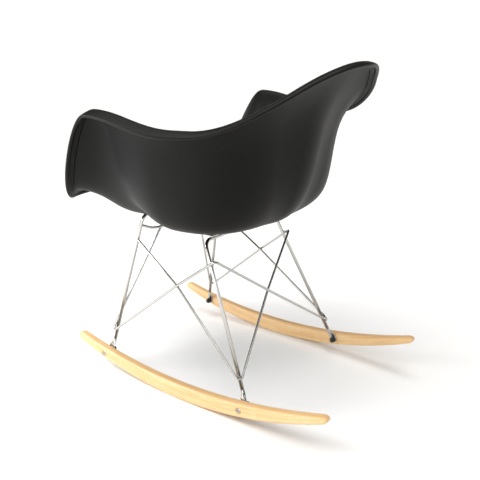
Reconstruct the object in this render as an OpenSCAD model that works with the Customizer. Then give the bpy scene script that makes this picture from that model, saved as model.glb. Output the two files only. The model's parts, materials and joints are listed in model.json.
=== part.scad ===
// Rocking armchair: moulded shell on a chromed rod base with two wooden rockers.
// Millimetres, +Z up, the sitter faces -Y, the sitter's left is +X, the floor is z = 0.

/* [View] */
// Node to draw

/* [Shell] */
// Wall thickness of the moulded shell
shell_t = 4.6; // [3:0.1:7]
// Extra thickness of the rolled rim
rim_extra = 2.4; // [0:0.1:4]
// Half width of the rim at the arms
rim_half = 292; // [260:1:320]
// Where the rim is widest, front to back
rim_y = -40; // [-80:1:0]
// Reach of the rim ahead of its widest place
front_reach = 230; // [200:1:260]
// Reach of the rim behind its widest place
back_reach = 338; // [300:1:370]
// Extra reach at the middle of the back
crown = 16; // [0:1:30]
// Squareness of the rim's outline at the front, where 2 is an ellipse
front_square = 5; // [2:0.1:7]
// Squareness of the rim's outline at the back
back_square = 2.1; // [1.8:0.1:4]
// Width of the flange inside the rim
flange_w = 25; // [15:1:35]
// Position of the lowest point of the seat, front to back
seat_y = 16; // [-20:1:50]
// Height of the lowest point of the seat
seat_z = 351; // [320:1:380]
// Mesh steps round the shell
n_around = 96; // [48:4:120]
// Mesh steps for each control row from the rim to the middle of the seat
profile_steps = 3; // [2:1:4]

/* [Rim heights] */
// Rim edge along the front of the seat
front_z = 418; // [390:1:440]
// Rim edge at the front of the arms
arm_z = 597; // [560:1:620]
// Rim edge where the arms run into the back
shoulder_z = 566; // [540:1:600]
// Rim edge at the middle of the back
back_z = 678; // [640:1:720]
// How far the rim edge hangs below the flange's crest at the front
roll_front = 22; // [0:1:35]
// How far it hangs below the crest at the arms
roll_arm = 13; // [0:1:30]
// How far it hangs below the crest at the back
roll_back = 4; // [0:1:20]

/* [Rod base] */
// Diameter of the two heavy leg rods
leg_d = 8.0; // [6:0.5:12]
// Diameter of the two zigzag bracing wires
wire_d = 5.6; // [4:0.2:8]
// Diameter of the front cross rod
cross_d = 5.6; // [4:0.2:8]
// Bend radius where a leg rod turns across under the seat
leg_bend = 20; // [12:1:40]
// Half width between the front legs at the cross span
front_half = 133; // [110:1:150]
// Height of the front cross span
front_top = 371; // [340:1:390]
// Front cross span position, front to back
front_span_y = -145.5; // [-180:0.5:-100]
// Half width between the rear legs at the cross span
rear_half = 126.5; // [110:0.5:150]
// Height of the rear cross span
rear_top = 337; // [310:1:360]
// Rear cross span position, front to back
rear_span_y = 21.5; // [0:0.5:60]

/* [Bracing] */
// Height where the front cross rod meets the front legs
cross_end_z = 346; // [330:1:360]
// Height of the front cross rod's low middle
cross_z = 330; // [315:1:350]
// Half length of its low middle
cross_flat = 97; // [60:1:120]
// Bend radius of the front cross rod
cross_bend = 90; // [30:5:120]
// Distance of a wire's start from the middle of the chair
wire_start = 62; // [30:1:90]
// Height where a wire turns round a front leg
turn_front_z = 87; // [70:1:120]
// Height where it turns at the top of a rear leg
turn_top_z = 302; // [280:1:320]
// Height where it turns round a rear leg
turn_rear_z = 74; // [60:1:110]
// Height where it ends on a front leg
wire_end_z = 315; // [290:1:330]
// Where the two wires pass each other at the side
side_cross = [155, -39, 234];
// Where the two wires pass each other at the back
back_cross = [0, 90, 201];

/* [Rockers] */
// Distance from the middle of the chair to the rockers' inner faces
rocker_in = 183; // [160:1:220]
// Width of a rocker
rocker_w = 22; // [16:1:35]
// Radius of the underside arc
under_r = 910; // [700:10:1400]
// Radius of the upper arc
upper_r = 1250; // [800:10:1800]
// Thickness at the lowest point
rocker_h = 35; // [25:1:50]
// Front tip, distance ahead of the lowest point
tip_front = 326; // [280:1:400]
// Rear tip, distance behind the lowest point
tip_rear = 354; // [280:1:400]

/* [Rocker bolts] */
// Bolt centre ahead of the lowest point, at the front legs
bolt_front_y = -233; // [-260:1:-180]
// Bolt centre height at the front legs
bolt_front_z = 42.5; // [25:0.5:60]
// Bolt centre behind the lowest point, at the rear legs
bolt_rear_y = 156; // [120:1:220]
// Bolt centre height at the rear legs
bolt_rear_z = 29.5; // [20:0.5:50]
// Bolt shank diameter
bolt_d = 6; // [5:0.5:8]
// Bolt head diameter
head_d = 10; // [8:0.5:14]
// Counterbore diameter in the rocker's outer face
bore_d = 13; // [10:0.5:18]
// Counterbore depth
bore_depth = 7; // [3:0.5:12]
// Outer diameter of the eye at the foot of a leg
eye_d = 16; // [12:0.5:24]
// Thickness of the eye
eye_t = 3.2; // [2:0.1:6]

/* [Shock mounts] */
// Distance from the middle of the chair to the shock mounts
mount_x = 96; // [70:1:110]
// Diameter of a shock mount
puck_d = 34; // [24:1:45]
// Thickness of a mount plate
plate_t = 3; // [2:0.5:5]

/* [Stance] */
// Rearward lean that brings the centre of mass over the rockers' lowest point
lean = -0.7; // [-4:0.1:4]
// Shift that centres the whole chair front to back
shift_y = -24.3; // [-60:0.1:60]

/* [Hidden] */
leg_r = leg_d / 2;
wire_r = wire_d / 2;
cross_r = cross_d / 2;
eye_x = rocker_in - eye_t / 2 - 0.05;
// distance from a bolt up to the foot of the leg's round part
foot_rise = 8.5;
// how far each wire's corners stand out from, and fore or aft of, the middle of a leg
turn_out = 10;
turn_past = 7.8;
top_out = 5.6;
top_past = 19.2;
end_out = 4.5;
end_past = 5.2;
// bend radii of the wires at the legs, at the side crossings and at the back
turn_bend = 7.5;
side_bend = 60;
back_bend = 120;
socket_d = 5.77;
socket_depth = 3.3;
nut_d = 11.3;
nut_h = 5;
cap_d = 14.4;
cap_skirt = 5;
cap_pocket_d = 11.6;
cap_pocket_h = 7;
plate_d = 30;
plate_tab_w = 26;
plate_tab_l = 16;
screw_d = 6;
screw_head_d = 11;
screw_head_h = 4;
screw_reach = 7;
// thin gap between a mount and the shell
puck_gap = 0.2;
screw_socket_d = 4.6;
screw_socket_h = 2.2;
bolt_play = 0.4;
cut_past = 1;

// ---------- shell design ----------
// Directions are in degrees round the shell from the front centre: 90 is the arm, 180 the back.
seat_mid = [0, seat_y, seat_z];
arm_rise = [48, 74];
arm_dip = [74, 112];
back_rise = [118, 178];
roll_to_arm = [40, 80];
roll_to_back = [110, 150];
crown_on = 155;
// the flange's crest follows the rim's height this many degrees later
crest_lag = 2;
// how far the middle of the flange stands above a straight line from rim to crest
flange_bulge = 4;
flange_share = 0.45;
// directions where the front profile gives way to the side, and the side to the back
front_to_side = [24, 88];
side_to_back = [100, 170];
// Profiles from the crest down to the seat: each row is the share of the way out from the
// seat's lowest point, then the share of the way up.
front_profile = [[0.86, 0.83], [0.74, 0.59], [0.62, 0.4], [0.44, 0.27], [0.27, 0.12]];
side_profile = [[0.95, 0.84], [0.93, 0.5], [0.88, 0.13], [0.6, 0.04], [0.3, 0.01]];
back_profile = [[0.75, 0.79], [0.67, 0.48], [0.6, 0.23], [0.45, 0.05], [0.25, 0]];

function mirrored(p) = [-p[0], p[1], p[2]];
// smooth step from 0 at span[0] to 1 at span[1]
function ease(a, span) =
  let (t = min(max((a - span[0]) / (span[1] - span[0]), 0), 1))
  t * t * (3 - 2 * t);
function rim_radius(a) =
  let (reach = a < 90 ? front_reach : back_reach, square = a < 90 ? front_square : back_square)
  pow(pow(sin(a) / rim_half, square) + pow(abs(cos(a)) / reach, square), -1 / square)
  + crown * ease(a, [crown_on, 180]);
function rim_z(a) = front_z + (arm_z - front_z) * ease(a, arm_rise)
  - (arm_z - shoulder_z) * ease(a, arm_dip) + (back_z - shoulder_z) * ease(a, back_rise);
function roll(a) = roll_front + (roll_arm - roll_front) * ease(a, roll_to_arm)
  + (roll_back - roll_arm) * ease(a, roll_to_back);
function rim_polar(r, a, z) = [r * sin(a), rim_y - r * cos(a), z];
function edge_pt(a) = rim_polar(rim_radius(a), a, rim_z(a));
function crest_pt(a) = rim_polar(rim_radius(a) - flange_w, a, rim_z(a - crest_lag) + roll(a));
function flange_pt(a) = edge_pt(a) * (1 - flange_share) + crest_pt(a) * flange_share
  + [0, 0, flange_bulge];
// shares of the way out and up at profile row i, for a crest in direction t from the seat
function shares(t, i) =
  let (f = 1 - ease(t, front_to_side), b = ease(t, side_to_back))
  f * front_profile[i] + (1 - f - b) * side_profile[i] + b * back_profile[i];
function wall_pt(a, i) =
  let (v = crest_pt(a) - seat_mid, s = shares(atan2(abs(v[0]), -v[1]), i))
  seat_mid + [v[0] * s[0], v[1] * s[0], v[2] * s[1]];

// ---------- smooth surface through the control points ----------
// uniform cubic blend of four values
function blend(a, b, c, d, t) =
  (pow(1 - t, 3) * a + (3 * t * t * t - 6 * t * t + 4) * b
  + (-3 * t * t * t + 3 * t * t + 3 * t + 1) * c + t * t * t * d) / 6;
n_down = 8 * profile_steps;
// one column of control values from beyond the rim to beyond the middle of the seat
function right_column(a) =
  let (last = len(front_profile) - 1)
  concat(
    [2 * edge_pt(a) - flange_pt(a), edge_pt(a), flange_pt(a), crest_pt(a)],
    [for (i = [0:last]) wall_pt(a, i)],
    [seat_mid, 2 * seat_mid - wall_pt(a, last)]);
function column(a) = a <= 180 ? right_column(a) : [for (p = right_column(360 - a)) mirrored(p)];
columns = [for (k = [0:n_around - 1]) column(360 * k / n_around)];
function down_pt(c, j) =
  let (s = min(floor(j / profile_steps), 7), t = j / profile_steps - s)
  blend(c[s], c[s + 1], c[s + 2], c[s + 3], t);
// skin[j][k]: row j from the rim (0) to the middle (n_down), column k round the shell
skin = [for (j = [0:n_down]) [for (k = [0:n_around - 1]) down_pt(columns[k], j)]];

function unit(v) = v / norm(v);
function wrap(k) = (k + n_around) % n_around;
// direction towards the sitter
function facing(j, k) = unit(cross(
  skin[j][wrap(k + 1)] - skin[j][wrap(k - 1)],
  skin[min(j + 1, n_down)][k] - skin[max(j - 1, 0)][k]));
// share of the wall outside the skin: most at the rolled flange, none lower down
function outside(j) = shell_t * 0.8 * max(0, 1 - j / (3 * profile_steps));
// the bead along the rim fades out over the flange
function bead(j) = rim_extra * exp(-pow(2.4 * j / profile_steps, 2));
function outer_pt(j, k) = skin[j][k] - (outside(j) + bead(j) * 0.7) * facing(j, k);
function inner_pt(j, k) = skin[j][k] + (shell_t - outside(j) + bead(j) * 0.3) * facing(j, k);

module seat_shell() {
  outer_pts = [for (j = [0:n_down - 1], k = [0:n_around - 1]) outer_pt(j, k)];
  inner_pts = [for (j = [0:n_down - 1], k = [0:n_around - 1]) inner_pt(j, k)];
  half = n_down * n_around;
  outer_mid = 2 * half;
  inner_mid = 2 * half + 1;
  pts = concat(outer_pts, inner_pts, [seat_mid, seat_mid + [0, 0, shell_t]]);
  outer_faces = [for (j = [0:n_down - 2], k = [0:n_around - 1], h = [0, 1])
    let (a = j * n_around + k, b = j * n_around + wrap(k + 1), c = a + n_around, d = b + n_around)
    h == 0 ? [a, b, d] : [a, d, c]];
  inner_faces = [for (f = outer_faces) [f[0] + half, f[2] + half, f[1] + half]];
  last = (n_down - 1) * n_around;
  fans = [for (k = [0:n_around - 1], h = [0, 1])
    let (a = last + k, b = last + wrap(k + 1))
    h == 0 ? [a, b, outer_mid] : [a + half, inner_mid, b + half]];
  edge = [for (k = [0:n_around - 1], h = [0, 1])
    h == 0 ? [k, k + half, wrap(k + 1) + half] : [k, wrap(k + 1) + half, wrap(k + 1)]];
  color([0.12, 0.12, 0.115])
  polyhedron(points = pts, faces = concat(outer_faces, inner_faces, fans, edge), convexity = 8);
}

// ---------- rods ----------
function turn(p, i) = acos(unit(p[i] - p[i - 1]) * unit(p[i + 1] - p[i]));
function cut_back(p, q, i) = q[i] * tan(turn(p, i) / 2);
// points of the bend of radius q[i] at corner i of the path p
function bend_pts(p, q, i) =
  let (
    d1 = unit(p[i] - p[i - 1]),
    d2 = unit(p[i + 1] - p[i]),
    n = unit(d2 - (d2 * d1) * d1),
    c = p[i] - d1 * cut_back(p, q, i) + n * q[i],
    a = turn(p, i),
    m = max(1, ceil(a / 12))
  )
  [for (k = [0:m]) c + q[i] * (d1 * sin(a * k / m) - n * cos(a * k / m))];
// centre line of a bent rod: straight runs joined by bends
function centre_line(p, q) = concat(
  [p[0]],
  [for (i = [1:len(p) - 2]) each bend_pts(p, q, i)],
  [p[len(p) - 1]]);
function heading(c, i) = unit(c[min(i + 1, len(c) - 1)] - c[max(i - 1, 0)]);
function square_to(v, d) = unit(v - (v * d) * d);

// a bent round rod along the path p with bend radii q
module bent_rod(p, q, r, sides) {
  c = centre_line(p, q);
  m = len(c);
  first = abs(heading(c, 0)[2]) < 0.9 ? [0, 0, 1] : [0, 1, 0];
  // a side direction carried along the rod without twisting
  side_dirs = [for (i = 0, v = square_to(first, heading(c, 0)); i < m;
    i = i + 1, v = square_to(v, heading(c, min(i, m - 1)))) v];
  pts = [for (i = [0:m - 1], k = [0:sides - 1])
    let (d = heading(c, i), v = side_dirs[i], w = cross(d, v), a = 360 * k / sides)
    c[i] + r * (v * cos(a) + w * sin(a))];
  walls = [for (i = [0:m - 2], k = [0:sides - 1], h = [0, 1])
    let (a = i * sides + k, b = i * sides + (k + 1) % sides)
    h == 0 ? [a, b + sides, b] : [a, a + sides, b + sides]];
  ends = [
    [for (k = [0:sides - 1]) k],
    [for (k = [sides - 1:-1:0]) (m - 1) * sides + k]
  ];
  polyhedron(points = pts, faces = concat(walls, ends), convexity = 10);
}

// the foot of a leg's round part, a little up from the bolt towards the leg's corner
function foot_pt(bolt_y, bolt_z, corner) =
  let (d = unit([0, corner[1] - bolt_y, corner[2] - bolt_z]))
  [eye_x - eye_t / 2 - leg_r, bolt_y, bolt_z] + foot_rise * d;
// middle of a leg at height z
function on_leg(foot, corner, z) = foot + (corner - foot) * (z - foot[2]) / (corner[2] - foot[2]);

front_corner = [front_half, front_span_y, front_top];
rear_corner = [rear_half, rear_span_y, rear_top];
front_foot = foot_pt(bolt_front_y, bolt_front_z, front_corner);
rear_foot = foot_pt(bolt_rear_y, bolt_rear_z, rear_corner);
cross_end = on_leg(front_foot, front_corner, cross_end_z) - [cross_r, 0, 0];
cross_low = [cross_flat, cross_end[1], cross_z];

// a heavy rod from one foot up, across under the seat and down to the other foot
module leg_rod(foot, corner) {
  bent_rod([foot, corner, mirrored(corner), mirrored(foot)], [0, leg_bend, leg_bend, 0], leg_r, 24);
}

module front_leg_rod() {
  color([0.78, 0.78, 0.8])
  placed()
  leg_rod(front_foot, front_corner);
}

module rear_leg_rod() {
  color([0.78, 0.78, 0.8])
  placed()
  leg_rod(rear_foot, rear_corner);
}

module front_cross_rod() {
  p = [cross_end, cross_low, mirrored(cross_low), mirrored(cross_end)];
  color([0.78, 0.78, 0.8])
  placed()
  bent_rod(p, [0, cross_bend, cross_bend, 0], cross_r, 18);
}

// The wire starts at the front cross rod, turns round the front foot, runs up past the side
// crossing to the rear leg, turns down across the back to the other rear foot, and runs
// forward and up to the other front leg.
// side is 1 for the wire that passes behind at the back crossing, -1 for its twin.
wire_gap = wire_r + 0.05;
function brace_path(side) = [
  cross_low + [wire_start - cross_flat, -cross_r - wire_r, cross_r + 2],
  on_leg(front_foot, front_corner, turn_front_z) + [turn_out, -turn_past, 0],
  side_cross + wire_gap * [1, 0, 0.13],
  on_leg(rear_foot, rear_corner, turn_top_z) + [top_out, top_past, 0],
  back_cross + side * wire_gap * [0, 0.92, 0.4],
  mirrored(on_leg(rear_foot, rear_corner, turn_rear_z) + [turn_out, turn_past, 0]),
  mirrored(side_cross - wire_gap * [1, 0, 0.13]),
  mirrored(on_leg(front_foot, front_corner, wire_end_z) + [end_out, end_past, 0])
];
brace_bends = [0, turn_bend, side_bend, turn_bend, back_bend, turn_bend, side_bend, 0];

module left_brace_wire() {
  color([0.8, 0.8, 0.82])
  placed()
  bent_rod(brace_path(1), brace_bends, wire_r, 18);
}

module right_brace_wire() {
  color([0.8, 0.8, 0.82])
  placed()
  bent_rod([for (p = brace_path(-1)) mirrored(p)], brace_bends, wire_r, 18);
}

// ---------- stance ----------
// leans the chair back about the centre of the rockers' arc, and centres it
module placed() {
  translate([0, shift_y, under_r])
  rotate([-lean, 0, 0])
  translate([0, 0, -under_r])
  children();
}

// side = 1 for the sitter's left, -1 for the right
module sided(side) {
  if (side > 0) {
    children();
  }
  if (side < 0) {
    mirror([1, 0, 0])
    children();
  }
}

// ---------- feet and rockers ----------
// turns +Z to +X with the origin at the bolt centre
module at_bolt(side, rear) {
  placed()
  sided(side)
  translate([0, rear ? bolt_rear_y : bolt_front_y, rear ? bolt_rear_z : bolt_front_z])
  rotate([90, 0, 90])
  children();
}

module foot_eye(side, rear) {
  corner = rear ? rear_corner : front_corner;
  ahead = corner[1] - (rear ? bolt_rear_y : bolt_front_y);
  up = corner[2] - (rear ? bolt_rear_z : bolt_front_z);
  color([0.72, 0.72, 0.74])
  at_bolt(side, rear)
  translate([0, 0, eye_x - eye_t / 2])
  difference() {
    union() {
      cylinder(h = eye_t, d = eye_d, $fn = 64);
      rotate([0, 0, -round(atan2(ahead, up))])
      translate([-leg_d / 2, leg_r, 0])
      cube([leg_d, eye_d, eye_t]);
    }
    translate([0, 0, -cut_past])
    cylinder(h = eye_t + 2 * cut_past, d = bolt_d + bolt_play, $fn = 48);
  }
}

module rocker_bolt(side, rear) {
  seat = rocker_in + rocker_w - bore_depth;
  tail = eye_x - eye_t / 2 - nut_h - 1.4;
  color([0.6, 0.6, 0.62])
  at_bolt(side, rear) {
    translate([0, 0, tail])
    cylinder(h = seat - tail, d = bolt_d, $fn = 48);
    difference() {
      translate([0, 0, seat])
      cylinder(h = bolt_d, d = head_d, $fn = 64);
      translate([0, 0, seat + bolt_d - socket_depth])
      cylinder(h = bolt_d, d = socket_d, $fn = 6);
    }
  }
}

module rocker_nut(side, rear) {
  color([0.6, 0.6, 0.62])
  at_bolt(side, rear)
  translate([0, 0, eye_x - eye_t / 2 - nut_h - 0.05])
  difference() {
    cylinder(h = nut_h, d = nut_d, $fn = 6);
    translate([0, 0, -cut_past])
    cylinder(h = nut_h + 2 * cut_past, d = bolt_d + 0.02, $fn = 48);
  }
}

// a domed cap with a round pocket over the nut
module nut_cap(side, rear) {
  color([0.06, 0.06, 0.06])
  at_bolt(side, rear)
  translate([0, 0, eye_x - eye_t / 2 - 0.05])
  rotate([180, 0, 0])
  difference() {
    union() {
      cylinder(h = cap_skirt, d = cap_d, $fn = 64);
      translate([0, 0, cap_skirt])
      intersection() {
        sphere(d = cap_d, $fn = 64);
        translate([0, 0, cap_d / 2])
        cube(cap_d + 2 * cut_past, center = true);
      }
    }
    translate([0, 0, -cut_past])
    cylinder(h = cap_pocket_h + cut_past, d = cap_pocket_d, $fn = 64);
  }
}

// flat outline of a rocker: y forward to back, z up
module rocker_outline() {
  intersection() {
    difference() {
      translate([0, under_r])
      circle(r = under_r, $fn = 720);
      translate([0, rocker_h + upper_r])
      circle(r = upper_r, $fn = 720);
    }
    translate([-tip_front, 0])
    square([tip_front + tip_rear, 200]);
  }
}

module rocker(side) {
  color([0.87, 0.72, 0.5])
  placed()
  sided(side)
  difference() {
    translate([rocker_in, 0, 0])
    rotate([90, 0, 90])
    linear_extrude(height = rocker_w)
    rocker_outline();
    for (p = [[bolt_front_y, bolt_front_z], [bolt_rear_y, bolt_rear_z]]) {
      translate([rocker_in - cut_past, p[0], p[1]])
      rotate([0, 90, 0])
      cylinder(h = rocker_w + 2 * cut_past, d = bolt_d + bolt_play, $fn = 48);
      translate([rocker_in + rocker_w - bore_depth, p[0], p[1]])
      rotate([0, 90, 0])
      cylinder(h = bore_depth + cut_past, d = bore_d, $fn = 64);
    }
  }
}

// ---------- shock mounts ----------
plate_tilt_front = 15;
plate_tilt_rear = 7;
mount_offset = 12;
function mount_tilt(rear) = rear ? plate_tilt_rear : plate_tilt_front;
// along the plate from the rod to the screw, towards the middle of the seat
function mount_reach(rear) = rear ? -mount_offset : mount_offset;
function mount_rod(rear) = [mount_x, rear ? rear_span_y : front_span_y, rear ? rear_top : front_top];

// origin on the plate's top face at the screw, +Z square to the plate
module at_mount(side, rear) {
  placed()
  sided(side)
  translate(mount_rod(rear))
  rotate([-mount_tilt(rear), 0, 0])
  translate([0, mount_reach(rear), leg_r + plate_t])
  children();
}

module mount_plate(side, rear) {
  s = rear ? -1 : 1;
  color([0.7, 0.7, 0.72])
  at_mount(side, rear)
  translate([0, 0, -plate_t])
  difference() {
    union() {
      cylinder(h = plate_t, d = plate_d, $fn = 64);
      translate([-plate_tab_w / 2, s > 0 ? -plate_tab_l : 0, 0])
      cube([plate_tab_w, plate_tab_l, plate_t]);
    }
    translate([0, 0, -cut_past])
    cylinder(h = plate_t + 2 * cut_past, d = screw_d + bolt_play, $fn = 48);
  }
}

// The underside of the seat over a mount, in the mount's own axes: its height at the screw,
// then its slopes in degrees. It is taken at the point of the shell nearest to the screw's axis.
function puck_top(rear) =
  let (
    t = mount_tilt(rear),
    across = [0, cos(t), -sin(t)],
    up = [0, sin(t), cos(t)],
    base = mount_rod(rear) + mount_reach(rear) * across + (leg_r + plate_t) * up,
    spots = [for (j = [5 * profile_steps:n_down - 1], k = [0:n_around / 2]) [j, k]],
    gaps = [for (s = spots) norm(cross(outer_pt(s[0], s[1]) - base, up))],
    near = spots[search(min(gaps), gaps)[0]],
    n = facing(near[0], near[1]),
    h = (outer_pt(near[0], near[1]) - base) * n / (up * n)
  )
  [h - puck_gap, atan(-n[0] / (up * n)), atan(-(across * n) / (up * n))];

module shock_mount(side, rear) {
  s = puck_top(rear);
  color([0.05, 0.05, 0.05])
  at_mount(side, rear)
  difference() {
    cylinder(h = s[0] + puck_d / 2, d = puck_d, $fn = 64);
    translate([0, 0, s[0]])
    rotate([s[2], -s[1], 0])
    translate([-puck_d, -puck_d, 0])
    cube([2 * puck_d, 2 * puck_d, puck_d]);
    translate([0, 0, -cut_past])
    cylinder(h = screw_reach + 2 * cut_past, d = screw_d + 0.02, $fn = 48);
  }
}

module mount_screw(side, rear) {
  color([0.6, 0.6, 0.62])
  at_mount(side, rear)
  translate([0, 0, -plate_t]) {
    cylinder(h = plate_t + screw_reach, d = screw_d, $fn = 48);
    difference() {
      translate([0, 0, -screw_head_h])
      cylinder(h = screw_head_h, d = screw_head_d, $fn = 64);
      translate([0, 0, -screw_head_h - cut_past])
      cylinder(h = screw_socket_h + cut_past, d = screw_socket_d, $fn = 6);
    }
  }
}

module placed_shell() {
  placed()
  seat_shell();
}

placed_shell();  // seat_shell
shock_mount(1, false);  // shock_mount_front_left
shock_mount(-1, false);  // shock_mount_front_right
shock_mount(1, true);  // shock_mount_rear_left
shock_mount(-1, true);  // shock_mount_rear_right
mount_plate(1, false);  // mount_plate_front_left
mount_plate(-1, false);  // mount_plate_front_right
mount_plate(1, true);  // mount_plate_rear_left
mount_plate(-1, true);  // mount_plate_rear_right
mount_screw(1, false);  // mount_screw_front_left
mount_screw(-1, false);  // mount_screw_front_right
mount_screw(1, true);  // mount_screw_rear_left
mount_screw(-1, true);  // mount_screw_rear_right
front_leg_rod();
rear_leg_rod();
front_cross_rod();
left_brace_wire();
right_brace_wire();
foot_eye(1, false);  // foot_eye_front_left
foot_eye(-1, false);  // foot_eye_front_right
foot_eye(1, true);  // foot_eye_rear_left
foot_eye(-1, true);  // foot_eye_rear_right
rocker(1);  // left_rocker
rocker(-1);  // right_rocker
rocker_bolt(1, false);  // rocker_bolt_front_left
rocker_bolt(-1, false);  // rocker_bolt_front_right
rocker_bolt(1, true);  // rocker_bolt_rear_left
rocker_bolt(-1, true);  // rocker_bolt_rear_right
rocker_nut(1, false);  // rocker_nut_front_left
rocker_nut(-1, false);  // rocker_nut_front_right
rocker_nut(1, true);  // rocker_nut_rear_left
rocker_nut(-1, true);  // rocker_nut_rear_right
nut_cap(1, false);  // nut_cap_front_left
nut_cap(-1, false);  // nut_cap_front_right
nut_cap(1, true);  // nut_cap_rear_left
nut_cap(-1, true);  // nut_cap_rear_right
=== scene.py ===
"""Rocking armchair: the visual model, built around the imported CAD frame.

Lengths marked mm are in the chair's own upright frame, as in the CAD source: x = 0 is the
middle, the sitter faces -Y, and the rockers' lowest points are at y = 0, z = 0. stand()
takes them to the shared frame, in metres, where the chair leans at rest.
"""
import json
import math

import bmesh
import bpy
import numpy as np
from mathutils import Matrix, Vector


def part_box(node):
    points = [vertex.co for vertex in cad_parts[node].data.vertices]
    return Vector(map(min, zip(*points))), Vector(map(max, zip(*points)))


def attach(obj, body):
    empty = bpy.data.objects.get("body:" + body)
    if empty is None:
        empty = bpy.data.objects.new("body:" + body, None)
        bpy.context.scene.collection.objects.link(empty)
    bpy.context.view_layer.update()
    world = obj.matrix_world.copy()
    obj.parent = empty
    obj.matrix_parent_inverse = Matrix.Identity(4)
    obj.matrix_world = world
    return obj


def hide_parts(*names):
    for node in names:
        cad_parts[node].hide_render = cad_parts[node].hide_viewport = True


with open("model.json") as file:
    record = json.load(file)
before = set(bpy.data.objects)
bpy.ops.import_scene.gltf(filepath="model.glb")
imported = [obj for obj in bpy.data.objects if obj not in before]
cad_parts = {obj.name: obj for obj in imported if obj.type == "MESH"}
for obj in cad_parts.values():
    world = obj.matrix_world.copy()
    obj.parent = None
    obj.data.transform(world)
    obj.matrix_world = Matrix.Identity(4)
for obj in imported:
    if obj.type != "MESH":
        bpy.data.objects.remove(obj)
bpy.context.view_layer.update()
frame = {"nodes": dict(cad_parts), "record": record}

MM = 0.001
CORNERS = ("front_left", "front_right", "rear_left", "rear_right")

# ---------- stance ----------
LEAN = math.radians(0.7)  # forward lean at rest
ARC_R = 910.0  # mm, radius of the rockers' undersides
SHIFT_Y = frame["record"]["mounts"][0]["pos_m"][1]  # m, where the rockers touch the floor


def stand(points):
    """Points in mm in the upright frame, as points in metres in the shared frame."""
    p = np.array(points, float) * MM
    y, z = p[..., 1].copy(), p[..., 2] - ARC_R * MM
    p[..., 1] = y * math.cos(LEAN) - z * math.sin(LEAN) + SHIFT_Y
    p[..., 2] = y * math.sin(LEAN) + z * math.cos(LEAN) + ARC_R * MM
    return p


# ---------- node helpers ----------
class Shader:
    """A node material with one Principled shader, and short calls to wire it up."""

    def __init__(self, name):
        self.mat = bpy.data.materials.new(name)
        self.mat.use_nodes = True
        self.tree = self.mat.node_tree
        self.bsdf = self.tree.nodes["Principled BSDF"]

    def node(self, kind, **values):
        made = self.tree.nodes.new(kind)
        for key, value in values.items():
            setattr(made, key, value)
        return made

    def link(self, source, target):
        self.tree.links.new(source, target)

    def feed(self, target, value):
        if isinstance(value, bpy.types.NodeSocket):
            self.link(value, target)
        else:
            target.default_value = value

    def place(self):
        """Coordinates fixed to the chair, in metres."""
        return self.node("ShaderNodeTexCoord").outputs["Object"]

    def attribute(self, name, output="Vector"):
        return self.node("ShaderNodeAttribute", attribute_name=name).outputs[output]

    def stretch(self, vector, scale):
        made = self.node("ShaderNodeMapping")
        self.link(vector, made.inputs["Vector"])
        made.inputs["Scale"].default_value = scale
        return made.outputs["Vector"]

    def noise(self, vector, scale, detail=4.0, rough=0.55, distortion=0.0):
        made = self.node("ShaderNodeTexNoise")
        self.link(vector, made.inputs["Vector"])
        made.inputs["Scale"].default_value = scale
        made.inputs["Detail"].default_value = detail
        made.inputs["Roughness"].default_value = rough
        made.inputs["Distortion"].default_value = distortion
        return made.outputs["Fac"]

    def ramp(self, fac, stops):
        """stops: (position, value or colour) pairs."""
        made = self.node("ShaderNodeValToRGB")
        self.link(fac, made.inputs["Fac"])
        marks = made.color_ramp.elements
        while len(marks) < len(stops):
            marks.new(0.5)
        for mark, (at, value) in zip(marks, stops):
            mark.position = at
            rgb = value if isinstance(value, tuple) else (value, value, value)
            mark.color = (*rgb, 1)
        return made.outputs["Color"]

    def math(self, operation, a, b=0.0):
        made = self.node("ShaderNodeMath", operation=operation)
        self.feed(made.inputs[0], a)
        self.feed(made.inputs[1], b)
        return made.outputs[0]

    def mix(self, fac, a, b, blend="MIX"):
        made = self.node("ShaderNodeMix", data_type="RGBA", blend_type=blend)
        self.feed(made.inputs[0], fac)
        for socket, value in ((made.inputs[6], a), (made.inputs[7], b)):
            self.feed(socket, (*value, 1) if isinstance(value, tuple) else value)
        return made.outputs[2]

    def bump(self, height, strength, distance, under=None):
        made = self.node("ShaderNodeBump")
        self.link(height, made.inputs["Height"])
        made.inputs["Strength"].default_value = strength
        made.inputs["Distance"].default_value = distance
        if under is not None:
            self.link(under, made.inputs["Normal"])
        return made.outputs["Normal"]

    def set(self, name, value):
        self.feed(self.bsdf.inputs[name], value)


def shell_plastic():
    s = Shader("shell_plastic")
    at = s.place()
    broad = s.noise(at, 5.0, 3.0)
    speck = s.noise(at, 700.0, 2.0, 0.6)
    grain = s.noise(at, 1600.0, 3.0, 0.65)
    swell = s.noise(at, 26.0, 2.0, 0.4)
    scuff = s.noise(s.stretch(at, (9.0, 60.0, 14.0)), 7.0, 6.0, 0.7, 0.6)
    rim = s.attribute("rim", "Fac")
    colour = s.mix(broad, (0.0038, 0.004, 0.0036), (0.0056, 0.0056, 0.005))
    colour = s.mix(s.ramp(speck, [(0.55, 0.0), (0.75, 0.35)]), colour, (0.016, 0.0155, 0.014))
    colour = s.mix(s.ramp(scuff, [(0.62, 0.0), (0.78, 0.45)]), colour, (0.014, 0.0135, 0.012))
    colour = s.mix(s.math("MULTIPLY", rim, 0.5), colour, (0.013, 0.0125, 0.011))
    s.set("Base Color", colour)
    dull = s.ramp(broad, [(0.3, 0.43), (0.7, 0.5)])
    dull = s.mix(s.ramp(scuff, [(0.6, 0.0), (0.75, 0.6)]), dull, (0.58, 0.58, 0.58))
    dull = s.mix(s.math("MULTIPLY", rim, 0.8), dull, (0.36, 0.36, 0.36))
    s.set("Roughness", dull)
    s.set("Specular IOR Level", 0.12)
    rough = s.bump(swell, 0.12, 0.0008)
    s.set("Normal", s.bump(grain, 0.3, 0.00006, rough))
    return s.mat


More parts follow.
